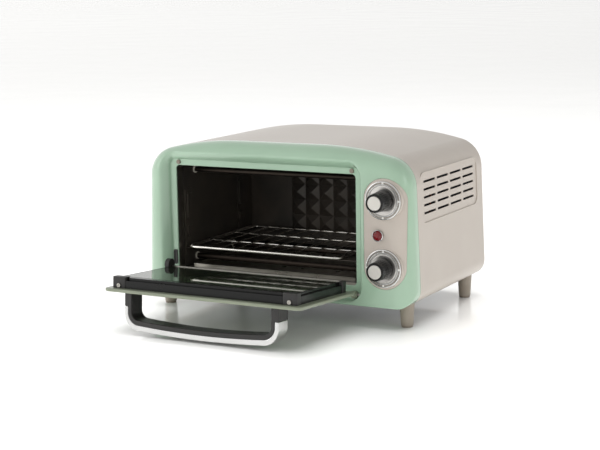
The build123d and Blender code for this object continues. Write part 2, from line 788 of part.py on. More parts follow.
# ---------------------------------------------------------------- door, built closed and carried open
plate_back = plate_front + plate_thick
with BuildPart() as door_plate:
    with BuildSketch(door_plane(plate_front)):
        opening(plate_half, plate_low, plate_high, 9)
    extrude(amount=-plate_thick)
    outer_face = door_plate.faces().sort_by(Axis.Z)[0]
    fillet(outer_face.edges(), 1.2)
    with BuildSketch(door_plane(plate_front)):
        with Locations((door_x, 117)):
            RectangleRounded(212, 92, 8)
    extrude(amount=-plate_thick, mode=Mode.SUBTRACT)
    # round hinge ears at the two lower corners, each with a short barrel on its outside
    left_ear, right_ear = door_x - ear_half, door_x + ear_half - 5
    for low, barrel in ((left_ear, left_ear - 1.5), (right_ear, right_ear)):
        with BuildSketch(door_plane(plate_front)):
            with Locations((low + 2.5, (hinge_z + 62) / 2)):
                Rectangle(5, 62 - hinge_z)
        extrude(amount=-plate_thick)
        with BuildSketch(Plane.YZ.offset(low)):
            with Locations((front_y + hinge_depth, hinge_z)):
                Circle(5)
        extrude(amount=5)
        with BuildSketch(Plane.YZ.offset(barrel)):
            with Locations((front_y + hinge_depth, hinge_z)):
                Circle(3.8)
        extrude(amount=6.5)
        with BuildSketch(Plane.YZ.offset(barrel)):
            with Locations((front_y + hinge_depth, hinge_z)):
                Circle(pin_radius + pin_clearance)
        extrude(amount=6.5, mode=Mode.SUBTRACT)
save(door_plate.part, "door_plate")

rail_step = plate_back + 9.6
window_half, window_low, window_high = frame_half - 10, 61.5, 166.8


def frame_envelope():
    """Stepped outside of the inner frame, without its window."""
    with BuildPart() as stepped:
        with BuildSketch(door_plane(plate_back)):
            opening(frame_half, frame_low, frame_high, 4)
        extrude(amount=-(rail_step - plate_back))
        with BuildSketch(door_plane(rail_step)):
            with Locations((door_x, (frame_low + frame_high - 4) / 2)):
                RectangleRounded(2 * frame_half - 8, frame_high - frame_low - 4, 3)
        extrude(amount=-(frame_back - rail_step))
    return stepped.part


envelope = frame_envelope()
with BuildPart() as door_glass:
    with BuildSketch(door_plane(frame_back - glass_thick)):
        opening(window_half + 4.4, window_low - 1.5, window_high + 4.5, 3)
    extrude(amount=-glass_thick)
save(door_glass.part, "door_glass")

with BuildPart() as door_inner_frame:
    add(envelope)
    with BuildSketch(door_plane(plate_back)):
        opening(window_half, window_low, window_high, 3)
    extrude(amount=-(frame_back - plate_back), mode=Mode.SUBTRACT)
    add(door_glass.part, mode=Mode.SUBTRACT)
save(door_inner_frame.part, "door_inner_frame")

cap_back, hinge_cap_width = frame_back + 1.0, 6.0
cap_rows = (("free", frame_high - 10, frame_high + 1.0, 18.5),
            ("hinge", frame_low - 0.4, frame_low + 10, hinge_cap_width))
for row, low, high, cap_width in cap_rows:
    with BuildPart() as corner_caps:
        # moulded caps over two corners of the stepped frame
        with BuildSketch(door_plane(plate_back + 0.2)):
            for sign in (-1, 1):
                with Locations((door_x + sign * (frame_half + 0.9 - cap_width / 2), (low + high) / 2)):
                    RectangleRounded(cap_width, high - low, 1.6)
        extrude(amount=-(cap_back - plate_back - 0.2))
        if row == "hinge":
            # round lug that stands up from the left cap, beside the slotted guide plate
            with BuildSketch(Plane.YZ.offset(door_x - frame_half - 0.9)):
                with Locations(turned(front_y + frame_back + 2.5, 63.5)[1:]):
                    Circle(lug_radius)
            extrude(amount=hinge_cap_width)
        add(envelope, mode=Mode.SUBTRACT)
    save(corner_caps.part, f"corner_caps_{row}")

strip_length = 2 * (frame_half + 0.9 - hinge_cap_width) - 0.2
with BuildPart() as glass_strip:
    # bright strip that holds the glass along the hinge side
    with BuildSketch(door_plane(frame_back)):
        with Locations((door_x, (frame_low - 0.2 + window_low + sheet) / 2)):
            Rectangle(strip_length, window_low + sheet - frame_low + 0.2)
    extrude(amount=-0.9)
save(glass_strip.part, "glass_strip")

turn = radians(open_angle)
edge_origin = turned(front_y + 13.6, frame_high + 1.0)
free_edge = Plane(origin=edge_origin, x_dir=(1, 0, 0), z_dir=(0, -sin(turn), cos(turn)))
screws("frame_screws", [(free_edge, door_x + sign * 118.0, 0) for sign in (-1, 1)], 2.5, 0)


# ---------------------------------------------------------------- handle
handle_bar = handle_black + handle_silver


def handle_solid(inset, bar_inset, corner):
    """Solid bowed U of the handle: legs `inset` in from the side, bar `bar_inset` in from the grip."""
    half, end = handle_half - inset, handle_end - bar_inset
    with BuildPart() as loop:
        with BuildSketch(door_section(handle_top)) as outline:
            with BuildLine():
                leg = Line((door_x - half, end), (door_x - half, 0))
                foot_line = Line(leg @ 1, (door_x + half, 0))
                far_leg = Line(foot_line @ 1, (door_x + half, end))
                ThreePointArc(far_leg @ 1, (door_x, end + handle_bow), leg @ 0)
            make_face()
            far_corners = [outline.vertices().sort_by_distance(point)[0] for point in (leg @ 0, far_leg @ 1)]
            fillet(far_corners, corner)
        extrude(amount=handle_width)
    return loop.part


handle_outside = handle_solid(0, 0, 20)
handle_seam = handle_solid(4.8, handle_silver, 15.5)
handle_inside = handle_solid(handle_leg, handle_bar, 10)
with BuildPart() as handle_trim:
    # bright outer band, its ends part of the way up the legs
    add(handle_outside)
    add(handle_seam, mode=Mode.SUBTRACT)
    with BuildSketch(door_section(handle_top + 5)):
        with Locations((door_x, silver_start / 2 - 10)):
            Rectangle(2 * handle_half + 20, silver_start + 20)
    extrude(amount=handle_width + 10, mode=Mode.SUBTRACT)
save(handle_trim.part, "handle_trim")

with BuildPart() as door_handle:
    add(handle_outside)
    add(handle_inside, mode=Mode.SUBTRACT)
    add(handle_trim.part, mode=Mode.SUBTRACT)
save(door_handle.part, "door_handle")

reach_low = turned(front_y + plate_front - handle_end - handle_bow, handle_top - handle_width)[2]
print(f"lowest point of the handle {reach_low:.2f}, front plane at Y {front_y:.2f}")
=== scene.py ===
# %% [markdown]
# # A countertop mini oven
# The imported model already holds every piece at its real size. This lesson keeps the pieces whose
# shape is right, gives each a finish that is made the way the real one is, and rebuilds the ones
# whose edges, grips or rods decide how the oven looks close up. Everything is in metres, with +Z up
# and the door towards -Y.

# %% Load the frame
import json
from math import atan2, cos, hypot, pi, radians, sin, sqrt

import bmesh
import bpy
from mathutils import Matrix, Vector


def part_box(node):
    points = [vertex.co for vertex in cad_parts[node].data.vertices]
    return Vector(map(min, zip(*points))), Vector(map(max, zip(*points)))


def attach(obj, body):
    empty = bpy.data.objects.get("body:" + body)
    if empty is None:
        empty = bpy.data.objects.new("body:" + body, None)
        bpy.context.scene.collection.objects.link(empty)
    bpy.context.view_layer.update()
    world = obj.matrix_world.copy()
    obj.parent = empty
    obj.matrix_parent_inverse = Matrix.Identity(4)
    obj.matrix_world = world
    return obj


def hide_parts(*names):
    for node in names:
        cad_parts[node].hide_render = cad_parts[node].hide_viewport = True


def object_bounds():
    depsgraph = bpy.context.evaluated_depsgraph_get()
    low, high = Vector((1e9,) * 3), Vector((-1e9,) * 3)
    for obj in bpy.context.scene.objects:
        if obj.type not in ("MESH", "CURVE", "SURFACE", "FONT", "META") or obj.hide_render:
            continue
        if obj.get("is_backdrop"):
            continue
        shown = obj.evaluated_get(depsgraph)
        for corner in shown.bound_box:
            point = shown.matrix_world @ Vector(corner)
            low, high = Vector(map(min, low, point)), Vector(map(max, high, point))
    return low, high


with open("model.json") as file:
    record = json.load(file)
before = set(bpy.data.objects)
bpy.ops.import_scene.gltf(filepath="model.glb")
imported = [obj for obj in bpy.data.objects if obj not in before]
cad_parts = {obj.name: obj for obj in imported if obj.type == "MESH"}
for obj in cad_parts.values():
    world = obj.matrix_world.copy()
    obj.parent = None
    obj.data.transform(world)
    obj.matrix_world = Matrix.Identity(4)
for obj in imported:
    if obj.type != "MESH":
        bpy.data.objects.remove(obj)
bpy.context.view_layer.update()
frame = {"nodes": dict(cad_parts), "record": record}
nodes = frame["nodes"]
mm = 0.001
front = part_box("front_fascia")[0].y
print("the frame has", len(nodes), "nodes, the fascia's front is at", round(front, 4))

# %% [markdown]
# ## Working with nodes
# Every finish below is a small node tree. One function adds a node, sets it and links it, and one
# turns the usual hex codes into the linear colours that a shader wants. A finish starts as a
# Principled shader and the piece's own Object coordinates, so a pattern has its real size in metres
# and stays on the piece when it moves.

# %% Colours, nodes and the start of a finish
def linear(code):
    """Linear colour of an sRGB hex code."""
    parts = [int(code[i:i + 2], 16) / 255 for i in (1, 3, 5)]
    return [part / 12.92 if part <= 0.04045 else ((part + 0.055) / 1.055) ** 2.4 for part in parts] + [1.0]


def add(tree, kind, settings=None, links=None):
    """A new node; settings name its options or inputs, links say which socket feeds an input."""
    node = tree.nodes.new(kind)
    for name, value in (settings or {}).items():
        if isinstance(name, str) and name not in node.inputs:
            setattr(node, name, value)
        else:
            node.inputs[name].default_value = value
    for name, socket in (links or {}).items():
        tree.links.new(socket, node.inputs[name])
    return node


def start(name, base, roughness, **shader):
    """A new material with its Principled shader; returns both, with the tree and the coordinates."""
    material = bpy.data.materials.new(name)
    material.use_nodes = True
    tree = material.node_tree
    tree.nodes.clear()
    values = {key.replace("_", " "): value for key, value in shader.items()}
    values.update({"Base Color": linear(base), "Roughness": roughness})
    surface = add(tree, "ShaderNodeBsdfPrincipled", values)
    add(tree, "ShaderNodeOutputMaterial", links={"Surface": surface.outputs["BSDF"]})
    return material, tree, surface, add(tree, "ShaderNodeTexCoord").outputs["Object"]


# %% [markdown]
# Most made surfaces vary in two ways: a slow drift of tone and gloss over centimetres, from how the
# coat flowed or the sheet was rolled, and a fine relief of a millimetre or so. A stretched noise
# makes the relief run one way, as brushing or drawing does.

# %% Drift and relief
def drift(tree, surface, place, colours, patch, gloss):
    """Clouds `patch` mm across move the colour between two tones and the roughness by `gloss`."""
    clouds = add(tree, "ShaderNodeTexNoise", {"Scale": 1000 / patch, "Detail": 3.0}, {"Vector": place})
    blend = add(tree, "ShaderNodeMapRange", {"From Min": 0.3, "From Max": 0.7},
                {"Value": clouds.outputs["Fac"]})
    tone = add(tree, "ShaderNodeMix", {"data_type": "RGBA", 6: linear(colours[0]), 7: linear(colours[1])},
               {"Factor": blend.outputs["Result"]})
    middle = surface.inputs["Roughness"].default_value
    wear = add(tree, "ShaderNodeMapRange", {"To Min": middle - gloss, "To Max": middle + gloss},
               {"Value": clouds.outputs["Fac"]})
    tree.links.new(tone.outputs[2], surface.inputs["Base Color"])
    tree.links.new(wear.outputs["Result"], surface.inputs["Roughness"])
    return tone


def relief(tree, surface, place, grain, depth, stretch=(1, 1, 1), detail=2.0):
    """Noise `grain` mm across and `depth` mm high, drawn out by the stretch."""
    scaled = add(tree, "ShaderNodeMapping", {"Scale": [1 / part for part in stretch]}, {"Vector": place})
    noise = add(tree, "ShaderNodeTexNoise", {"Scale": 1000 / grain, "Detail": detail},
                {"Vector": scaled.outputs["Vector"]})
    bump = add(tree, "ShaderNodeBump", {"Strength": 1.0, "Distance": depth * mm},
               {"Height": noise.outputs["Fac"]})
    tree.links.new(bump.outputs["Normal"], surface.inputs["Normal"])
    return noise


# %% [markdown]
# ## Enamels
# The fascia, shell and door are pressed steel with a stoved coat. The fascia's is a full gloss, so
# its rolled edge carries long clean highlights, and the shell's is a satin. Both have the faint
# orange peel that a sprayed coat dries with: swells 3 mm apart and a few microns high.

# %% Sprayed enamels
finishes = {}


def enamel(name, colours, roughness, coat, peel):
    material, tree, surface, place = start(name, colours[0], roughness, Coat_Weight=coat, Coat_Roughness=0.06)
    drift(tree, surface, place, colours, 60, 0.03)
    relief(tree, surface, place, 3.0, peel)
    return material


finishes["mint_enamel"] = enamel("mint gloss enamel", ("#a3c1a8", "#a8c6ad"), 0.24, 0.6, 0.004)
finishes["greige_enamel"] = enamel("greige satin enamel", ("#c2b8ae", "#c7beb4"), 0.38, 0.2, 0.006)
finishes["door_enamel"] = enamel("sage satin enamel", ("#848b77", "#8c937f"), 0.34, 0.2, 0.006)

# %% [markdown]
# ## Plastics and rubber
# Moulded plastic copies its steel mould: a polished one gives a gloss, a spark-eroded one a fine
# even grain. The grain here is drawn at 0.8 mm, coarser than the real 0.1 mm, so that it shows.

# %% Moulded plastics
def moulded(name, colours, roughness, grain, depth, **shader):
    material, tree, surface, place = start(name, colours[0], roughness, **shader)
    drift(tree, surface, place, colours, 25, 0.04)
    relief(tree, surface, place, grain, depth)
    return material


finishes["black_plastic"] = moulded("black grained nylon", ("#1f1e1d", "#292726"), 0.46, 0.8, 0.02)
finishes["black_gloss"] = moulded("black gloss phenolic", ("#080808", "#0c0c0b"), 0.26, 2.0, 0.003,
                                  Specular_IOR_Level=0.3)
finishes["foot_plastic"] = moulded("greige ABS", ("#978d7f", "#a1978a"), 0.4, 0.9, 0.02)
finishes["tick_white"] = moulded("white pad-printed ink", ("#e9e6e0", "#f2f0ea"), 0.5, 0.6, 0.01)
finishes["beige_phenolic"] = moulded("beige filled phenolic", ("#857458", "#958466"), 0.55, 1.2, 0.05)
finishes["pad_silicone"] = moulded("greige silicone rubber", ("#857b6f", "#91877b"), 0.6, 0.9, 0.02)
finishes["lead_insulation"] = moulded("red silicone lead", ("#84372a", "#963f31"), 0.55, 1.0, 0.02)
finishes["ceramic"] = moulded("unglazed steatite", ("#e2dccd", "#ebe6d9"), 0.7, 0.7, 0.03)
finishes["ring_silver"] = moulded("satin silver paint", ("#8f8981", "#9b958d"), 0.34, 0.8, 0.004,
                                  Metallic=0.6)
finishes["cap_silver"] = moulded("silver painted ABS", ("#c9c6bf", "#d3d0ca"), 0.34, 0.7, 0.006,
                                 Metallic=0.35)

# %% [markdown]
# ## Metals
# Plated parts mirror the room and need only a trace of unevenness. Brushed and spun parts carry
# lines, straight or round the axis of the lathe. Zinc on galvanised sheet grows in flat crystals,
# the spangle, which a cell texture draws at its real 8 mm.

# %% Plated, brushed and coated metals
def metal(name, colours, roughness, grain, depth, stretch=(1, 1, 1), patch=40):
    material, tree, surface, place = start(name, colours[0], roughness, Metallic=1.0)
    drift(tree, surface, place, colours, patch, roughness * 0.25)
    relief(tree, surface, place, grain, depth, stretch)
    return material


finishes["chrome"] = metal("bright chrome plate", ("#c6c6c5", "#cfcfce"), 0.08, 9.0, 0.0004)
finishes["plated_wire"] = metal("nickel plated wire", ("#dcd9d2", "#e6e3dd"), 0.22, 1.2, 0.006)
finishes["bright_steel"] = metal("brushed stainless strip", ("#a9a69e", "#b9b6af"), 0.3, 0.8, 0.01,
                                 (40, 1, 1))
finishes["heater_sheath"] = metal("heat-tinted sheath", ("#393430", "#463e38"), 0.5, 1.0, 0.02,
                                  (12, 1, 1), 30)


def spangled(name):
    material, tree, surface, place = start(name, "#92969a", 0.4, Metallic=1.0)
    cells = add(tree, "ShaderNodeTexVoronoi", {"Scale": 1000 / 8}, {"Vector": place})
    tone = add(tree, "ShaderNodeMix", {"data_type": "RGBA", 6: linear("#83878b"), 7: linear("#a2a6a9")},
               {"Factor": cells.outputs["Color"]})
    wear = add(tree, "ShaderNodeMapRange", {"To Min": 0.32, "To Max": 0.5}, {"Value": cells.outputs["Color"]})
    tree.links.new(tone.outputs[2], surface.inputs["Base Color"])
    tree.links.new(wear.outputs["Result"], surface.inputs["Roughness"])
    relief(tree, surface, place, 8.0, 0.01)
    return material


finishes["galvanised"] = spangled("galvanised sheet")


# %% [markdown]
# The cavity is aluminised steel with a dark baked coat. Heat leaves it blotchy: duller and browner
# patches over the near-black, and a dry, slightly rough touch.

# %% Cavity coating
def baked_coat(name):
    material, tree, surface, place = start(name, "#45423e", 0.36, Metallic=0.3)
    drift(tree, surface, place, ("#403d39", "#524b43"), 45, 0.08)
    relief(tree, surface, place, 1.5, 0.03)
    return material


finishes["dark_steel"] = baked_coat("baked dark coat")


# %% [markdown]
# A dial's dish is turned aluminium. The tool leaves rings round the axis, so light gathers in two
# opposed fans. The rings are a wave texture of the distance from the axis, drawn 0.9 mm apart.

# %% Turned dishes, one for each dial's axis
def turned_aluminium(name, centre):
    material, tree, surface, place = start(name, "#cfccc8", 0.3, Metallic=1.0, Anisotropic=0.5)
    centred = add(tree, "ShaderNodeMapping", {"Location": [-part for part in centre], "Scale": (1, 0, 1)},
                  {"Vector": place})
    rings = add(tree, "ShaderNodeTexWave", {"wave_type": "RINGS", "rings_direction": "SPHERICAL",
                                            "Scale": 1000 / 0.9 / 20, "Distortion": 0.4},
                {"Vector": centred.outputs["Vector"]})
    tone = add(tree, "ShaderNodeMix", {"data_type": "RGBA", 6: linear("#cbc8c4"), 7: linear("#dfddda")},
               {"Factor": rings.outputs["Fac"]})
    bump = add(tree, "ShaderNodeBump", {"Strength": 0.6, "Distance": 0.01 * mm},
               {"Height": rings.outputs["Fac"]})
    tree.links.new(tone.outputs[2], surface.inputs["Base Color"])
    tree.links.new(bump.outputs["Normal"], surface.inputs["Normal"])
    return material


dial_centres = {}
for dial in ("thermostat", "timer"):
    low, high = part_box(f"knob_{dial}")
    dial_centres[dial] = Vector(((low.x + high.x) / 2, front, (low.z + high.z) / 2))
    finishes[f"dial_silver_{dial}"] = turned_aluminium(f"turned aluminium {dial}", dial_centres[dial])
print("dials at", {dial: [round(part, 4) for part in centre] for dial, centre in dial_centres.items()})


# %% [markdown]
# ## Glass and the lamp's lens
# The door is toughened glass: tinted a deep grey green, and a touch wavy from the furnace's rollers,
# which bends long reflections. The lens is red acrylic with a faint red emission, a painted glow that stands
# in for light scattering in it.

# %% Glass and acrylic
def toughened_glass(name):
    material, tree, surface, place = start(name, "#66735f", 0.03, Transmission_Weight=0.92, IOR=1.5)
    drift(tree, surface, place, ("#616e5a", "#6b7864"), 80, 0.015)
    relief(tree, surface, place, 45.0, 0.05, (2, 1, 1), 0.0)
    return material


def red_acrylic_painted_glow(name):
    # The faint red emission is a painted glow: the lens shines a little by itself, standing in for light
    # scattered inside the acrylic.
    material, tree, surface, place = start(name, "#6e0810", 0.12, Transmission_Weight=0.25, IOR=1.49,
                                           Emission_Color=linear("#b0101c"), Emission_Strength=0.05)
    drift(tree, surface, place, ("#61060d", "#7e0b15"), 4, 0.03)
    relief(tree, surface, place, 2.0, 0.05)
    return material


finishes["tempered_glass"] = toughened_glass("toughened glass")
finishes["lamp_red"] = red_acrylic_painted_glow("red acrylic")
print(len(finishes), "finishes")

# %% [markdown]
# ## Dressing the nodes
# The record names each node's finish. A dish takes the version turned about its own dial.

# %% Give every node its finish
for row in frame["record"]["subparts"]:
    wanted = row["material_slot"]
    if wanted == "dial_silver":
        wanted += "_" + row["node"].rsplit("_", 1)[1]
    mesh = nodes[row["node"]].data
    mesh.materials.clear()
    mesh.materials.append(finishes[wanted])
print("dressed", len(nodes), "nodes")

# %% [markdown]
# ## Making pieces
# A new piece is a mesh whose points are worked out in millimetres and placed by `at`, from the
# fascia's front plane. `show` gives the mesh its finish, shades it smooth except over real corners,
# lets it ride on a body and hides the nodes it stands for.

# %% Placing and showing a piece
def at(x, depth, z):
    """Point in metres from an X and height in mm, `depth` mm behind the fascia's front."""
    return Vector((x * mm, front + depth * mm, z * mm))


def show(name, mesh, finish, body, stands_for=(), corner=40):
    """Makes an object of the mesh, dressed, riding on its body."""
    mesh.shade_smooth()
    mesh.set_sharp_from_angle(angle=radians(corner))
    mesh.materials.clear()
    mesh.materials.append(finishes[finish])
    made = bpy.data.objects.new(name, mesh)
    bpy.context.scene.collection.objects.link(made)
    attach(made, body)
    if stands_for:
        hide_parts(*stands_for)
    print(name, "has", len(mesh.polygons), "faces")
    return made


def closed_mesh(name, points, faces):
    """A mesh of the points and faces, merged where they meet, its faces turned outwards."""
    form = bmesh.new()
    corners = [form.verts.new(point) for point in points]
    for face in faces:
        form.faces.new([corners[index] for index in face])
    bmesh.ops.remove_doubles(form, verts=form.verts, dist=0.001 * mm)
    bmesh.ops.recalc_face_normals(form, faces=form.faces)
    mesh = bpy.data.meshes.new(name)
    form.to_mesh(mesh)
    form.free()
    return mesh


# %% [markdown]
# ## Front fascia
# One pressing: rolled over at the top and sides with a 24 mm radius, cut flat at the bottom, and
# dished in towards the door. A bevelled box would give even edges, which this has not, so the sheet
# is built as rings. Each ring runs once round the body at matched stations, first round the outside,
# then over the roll, down the dished wall, across the ledge and in at the opening. The roll's depth
# comes from how far a point lies inside the body's outline.

# %% The body's outline and its roll
half_width, crown_top, bottom = 191.0, 221.0, 27.5
crown_radius, crown_angle = 427.0, radians(13.3)
shoulder_radius, lean = 37.3, radians(2.2)
heel_radius, roll_radius, hem_radius = 20.0, 24.0, 3.0
tip = pi / 2 - lean
side_top = crown_top - crown_radius * (1 - cos(crown_angle)) - shoulder_radius * (cos(crown_angle) - cos(tip))
heel_z = bottom + heel_radius
widest_z = heel_z + heel_radius * sin(lean)
crown_x = (half_width - crown_radius * sin(crown_angle) - shoulder_radius * (sin(tip) - sin(crown_angle))
           - (side_top - widest_z) * sin(lean) / cos(lean))
crown_z = crown_top - crown_radius
shoulder_x = crown_x + (crown_radius - shoulder_radius) * sin(crown_angle)
shoulder_z = crown_z + (crown_radius - shoulder_radius) * cos(crown_angle)
heel_x = half_width - heel_radius * cos(lean)


def steps(count, first=0.0, last=1.0):
    return [first + (last - first) * index / count for index in range(count)]


def half_outline():
    """Stations down the body's right side, from the crown's middle to the bottom's middle."""
    side_start = (shoulder_x + shoulder_radius * cos(lean), shoulder_z + shoulder_radius * sin(lean))
    side_end = (heel_x + heel_radius * cos(lean), widest_z)
    stations = [(crown_x * t, crown_top) for t in steps(4)]
    stations += [(crown_x + crown_radius * sin(a), crown_z + crown_radius * cos(a))
                 for a in steps(10, 0, crown_angle)]
    stations += [(shoulder_x + shoulder_radius * sin(a), shoulder_z + shoulder_radius * cos(a))
                 for a in steps(16, crown_angle, tip)]
    run_x, run_z = side_end[0] - side_start[0], side_end[1] - side_start[1]
    stations += [(side_start[0] + run_x * t, side_start[1] + run_z * t)
                 for t in steps(24)]
    stations += [(heel_x + heel_radius * cos(a), heel_z + heel_radius * sin(a))
                 for a in steps(10, lean, -pi / 2)]
    return stations + [(heel_x * (1 - t), bottom) for t in steps(14)] + [(0.0, bottom)]


def inside(x, z):
    """How far a point lies inside the rolled outline, and inside the hem at the bottom."""
    x = abs(x)
    crown_turn = atan2(x - crown_x, z - crown_z)
    shoulder_turn = atan2(x - shoulder_x, z - shoulder_z)
    if x <= crown_x:
        rolled = crown_top - z
    elif crown_turn <= crown_angle:
        rolled = crown_radius - hypot(x - crown_x, z - crown_z)
    elif 0 <= shoulder_turn <= tip:
        rolled = shoulder_radius - hypot(x - shoulder_x, z - shoulder_z)
    else:
        rolled = shoulder_radius - (x - shoulder_x) * cos(lean) - (z - shoulder_z) * sin(lean)
    hem = z - bottom
    if x > heel_x and z < heel_z:
        hem = heel_radius - hypot(x - heel_x, z - heel_z)
    elif z >= heel_z:
        hem = heel_radius
    return max(rolled, 0.0), max(hem, 0.0)


def rolled_depth(x, z):
    """Depth of the fascia's outside behind its front plane."""
    rolled, hem = inside(x, z)
    roll = roll_radius - sqrt(roll_radius ** 2 - max(roll_radius - rolled, 0) ** 2)
    turned_under = hem_radius - sqrt(hem_radius ** 2 - max(hem_radius - hem, 0) ** 2)
    return hypot(roll, turned_under)


# %% [markdown]
# The dished wall closes in from the mouth to the ledge on a curve through three depths. A rounded
# rectangle gets its stations in the same order as the outline, so ring joins ring with clean quads.

# %% The recess and the opening
ledge_depth, lip_radius, foot_radius, edge_radius = 12.3, 1.8, 1.4, 0.9
recess_levels = (-0.6, 3.6, ledge_depth)
recess_sides = ((163.2, 157.6, 152.5), (126.0, 123.3, 120.4), (32.0, 33.0, 33.6), (205.2, 200.2, 196.2),
                (22.0, 14.0, 8.0))
door_x, opening_half, opening_low, opening_high = -16.0, 129.0, 50.0, 187.8
opening_corner = 5.0


def recess_size(level):
    """Left, right, low, high and corner radius of the recess at a depth, on a curve through three."""
    a, b, c = recess_levels
    shares = ((level - b) * (level - c) / ((a - b) * (a - c)),
              (level - a) * (level - c) / ((b - a) * (b - c)),
              (level - a) * (level - b) / ((c - a) * (c - b)))
    return [sum(share * value for share, value in zip(shares, values)) for values in recess_sides]


def rounded_half(centre, half, low, high, radius):
    """Stations of a rounded rectangle's right half, matched to the body outline's."""
    inner_x, top_z, low_z = half - radius, high - radius, low + radius
    stations = [(inner_x * t, high) for t in steps(14)]
    stations += [(inner_x + radius * sin(a), top_z + radius * cos(a)) for a in steps(16, 0, pi / 2)]
    stations += [(half, top_z + (low_z - top_z) * t) for t in steps(24)]
    stations += [(inner_x + radius * cos(a), low_z + radius * sin(a)) for a in steps(10, 0, -pi / 2)]
    stations += [(inner_x * (1 - t), low) for t in steps(14)] + [(0.0, low)]
    return centre, stations


def whole(centre, stations):
    """Both halves of a ring from its right half."""
    mirrored = [(centre - x, z) for x, z in reversed(stations[1:-1])]
    return [(centre + x, z) for x, z in stations] + mirrored


def recess_ring(level, grow):
    left, right, low, high, radius = recess_size(level)
    half = (left + right) / 2 + grow
    return whole(*rounded_half((right - left) / 2, half, low - grow, high + grow, radius + grow))


def opening_ring(grow):
    low, high = opening_low - grow, opening_high + grow
    return whole(*rounded_half(door_x, opening_half + grow, low, high, opening_corner + grow))


# %% Rings of the fascia
fascia_depth = (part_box("front_fascia")[1].y - front) / mm
outline = whole(0.0, half_outline())
mouth = recess_ring(0.0, lip_radius)
mouth_depth = [rolled_depth(x, z) for x, z in mouth]
rings = [[at(x, fascia_depth - 0.5 * t, z) for x, z in outline] for t in (0.0, 1.0)]
for share in (0.35, 0.7, 1.0):
    rings.append([at(x, fascia_depth + (rolled_depth(x, z) - fascia_depth) * share, z) for x, z in outline])
for step in range(1, 19):
    share = 1 - cos(step / 18 * pi / 2)
    ring = [(a[0] + (b[0] - a[0]) * share, a[1] + (b[1] - a[1]) * share) for a, b in zip(outline, mouth)]
    rings.append([at(x, rolled_depth(x, z), z) for x, z in ring])


def wall_ring(level, grow):
    """A ring at a level of the dish, following the roll where the mouth cuts into it."""
    left_over = 1 - level / ledge_depth
    return [at(x, level + roll * left_over, z) for (x, z), roll in zip(recess_ring(level, grow), mouth_depth)]


for turn in steps(5, pi / 10, pi / 2 + pi / 10):
    rings.append(wall_ring(lip_radius * (1 - cos(turn)), lip_radius * (1 - sin(turn))))
wall_foot = ledge_depth - foot_radius
for share in steps(8, 1 / 8, 1 + 1 / 8):
    rings.append(wall_ring(lip_radius + (wall_foot - lip_radius) * share, 0.0))
for turn in steps(4, pi / 8, pi / 2 + pi / 8):
    rings.append(wall_ring(wall_foot + foot_radius * sin(turn), foot_radius * (cos(turn) - 1)))
ledge_start, ledge_end = recess_ring(ledge_depth, -foot_radius), opening_ring(edge_radius)
for share in (0.5, 1.0):
    rings.append([at(a[0] + (b[0] - a[0]) * share, ledge_depth, a[1] + (b[1] - a[1]) * share)
                  for a, b in zip(ledge_start, ledge_end)])
for turn in steps(4, pi / 8, pi / 2 + pi / 8):
    rings.append([at(x, ledge_depth + edge_radius * (1 - cos(turn)), z)
                  for x, z in opening_ring(edge_radius * (1 - sin(turn)))])
rings.append([at(x, ledge_depth + 2.0, z) for x, z in opening_ring(0.0)])
print(len(rings), "rings of", len(outline), "stations")


# %% [markdown]
# The rings are stitched, the sheet gets its 0.9 mm thickness inwards, and the round-ended cut-out
# for the control panel is taken out of it with a Boolean, since its edge is a real cut.

# %% Stitch, thicken and cut the fascia
def stitched(name, rings):
    """An open sheet of quads between closed rings."""
    mesh = bpy.data.meshes.new(name)
    count = len(rings[0])
    faces = [(row * count + k, row * count + (k + 1) % count, (row + 1) * count + (k + 1) % count,
              (row + 1) * count + k) for row in range(len(rings) - 1) for k in range(count)]
    mesh.from_pydata([point for ring in rings for point in ring], [], faces)
    return mesh


def applied(mesh, modifiers):
    """A new mesh: the old one with modifiers, each a kind and its settings, applied in turn."""
    holder = bpy.data.objects.new("holder", mesh)
    bpy.context.scene.collection.objects.link(holder)
    for kind, settings in modifiers:
        modifier = holder.modifiers.new(kind, kind)
        for name, value in settings.items():
            setattr(modifier, name, value)
    graph = bpy.context.evaluated_depsgraph_get()
    made = bpy.data.meshes.new_from_object(holder.evaluated_get(graph))
    bpy.data.objects.remove(holder)
    return made


panel_low, panel_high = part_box("control_panel")
panel_x = (panel_low.x + panel_high.x) / 2 / mm
panel_radius = (panel_high.x - panel_low.x) / 2 / mm + 0.15
panel_ends = (panel_low.z / mm + panel_radius, panel_high.z / mm - panel_radius)


def stadium(radius, count=24):
    """Outline of the round-ended cut-out, as X and height in mm."""
    upper = [(panel_x + radius * cos(a), panel_ends[1] + radius * sin(a)) for a in steps(count, 0, pi)]
    lower = [(panel_x - radius * cos(a), panel_ends[0] - radius * sin(a)) for a in steps(count, 0, pi)]
    return [*upper, (panel_x - radius, panel_ends[1]), *lower, (panel_x + radius, panel_ends[0])]


cut = stadium(panel_radius)
count = len(cut)
prism = [at(x, depth, z) for depth in (-8.0, 25.0) for x, z in cut]
prism_faces = [list(range(count)), list(range(count, 2 * count))]
prism_faces += [(k, (k + 1) % count, count + (k + 1) % count, count + k) for k in range(count)]
cutter = bpy.data.objects.new("cutter", closed_mesh("cutter", prism, prism_faces))
bpy.context.scene.collection.objects.link(cutter)
sheet = stitched("front_fascia_sheet", rings)
if sheet.polygons[len(outline) + 30].normal.x * rings[1][30].x < 0:
    sheet.flip_normals()
sheet = applied(sheet, [("SOLIDIFY", {"thickness": 0.9 * mm, "offset": -1.0}),
                        ("BOOLEAN", {"object": cutter, "operation": "DIFFERENCE", "solver": "EXACT"})])
bpy.data.objects.remove(cutter)
show("fascia", sheet, "mint_enamel", "oven", ["front_fascia"], 50)

# %% [markdown]
# ## Control panel
# A moulded greige piece fills the cut-out, 0.7 mm proud of the enamel, with softly rounded rims and
# two flat bosses that level the dials on its curved face. Rings again: the rim rolls down into the
# gap, and the face follows the fascia's roll.

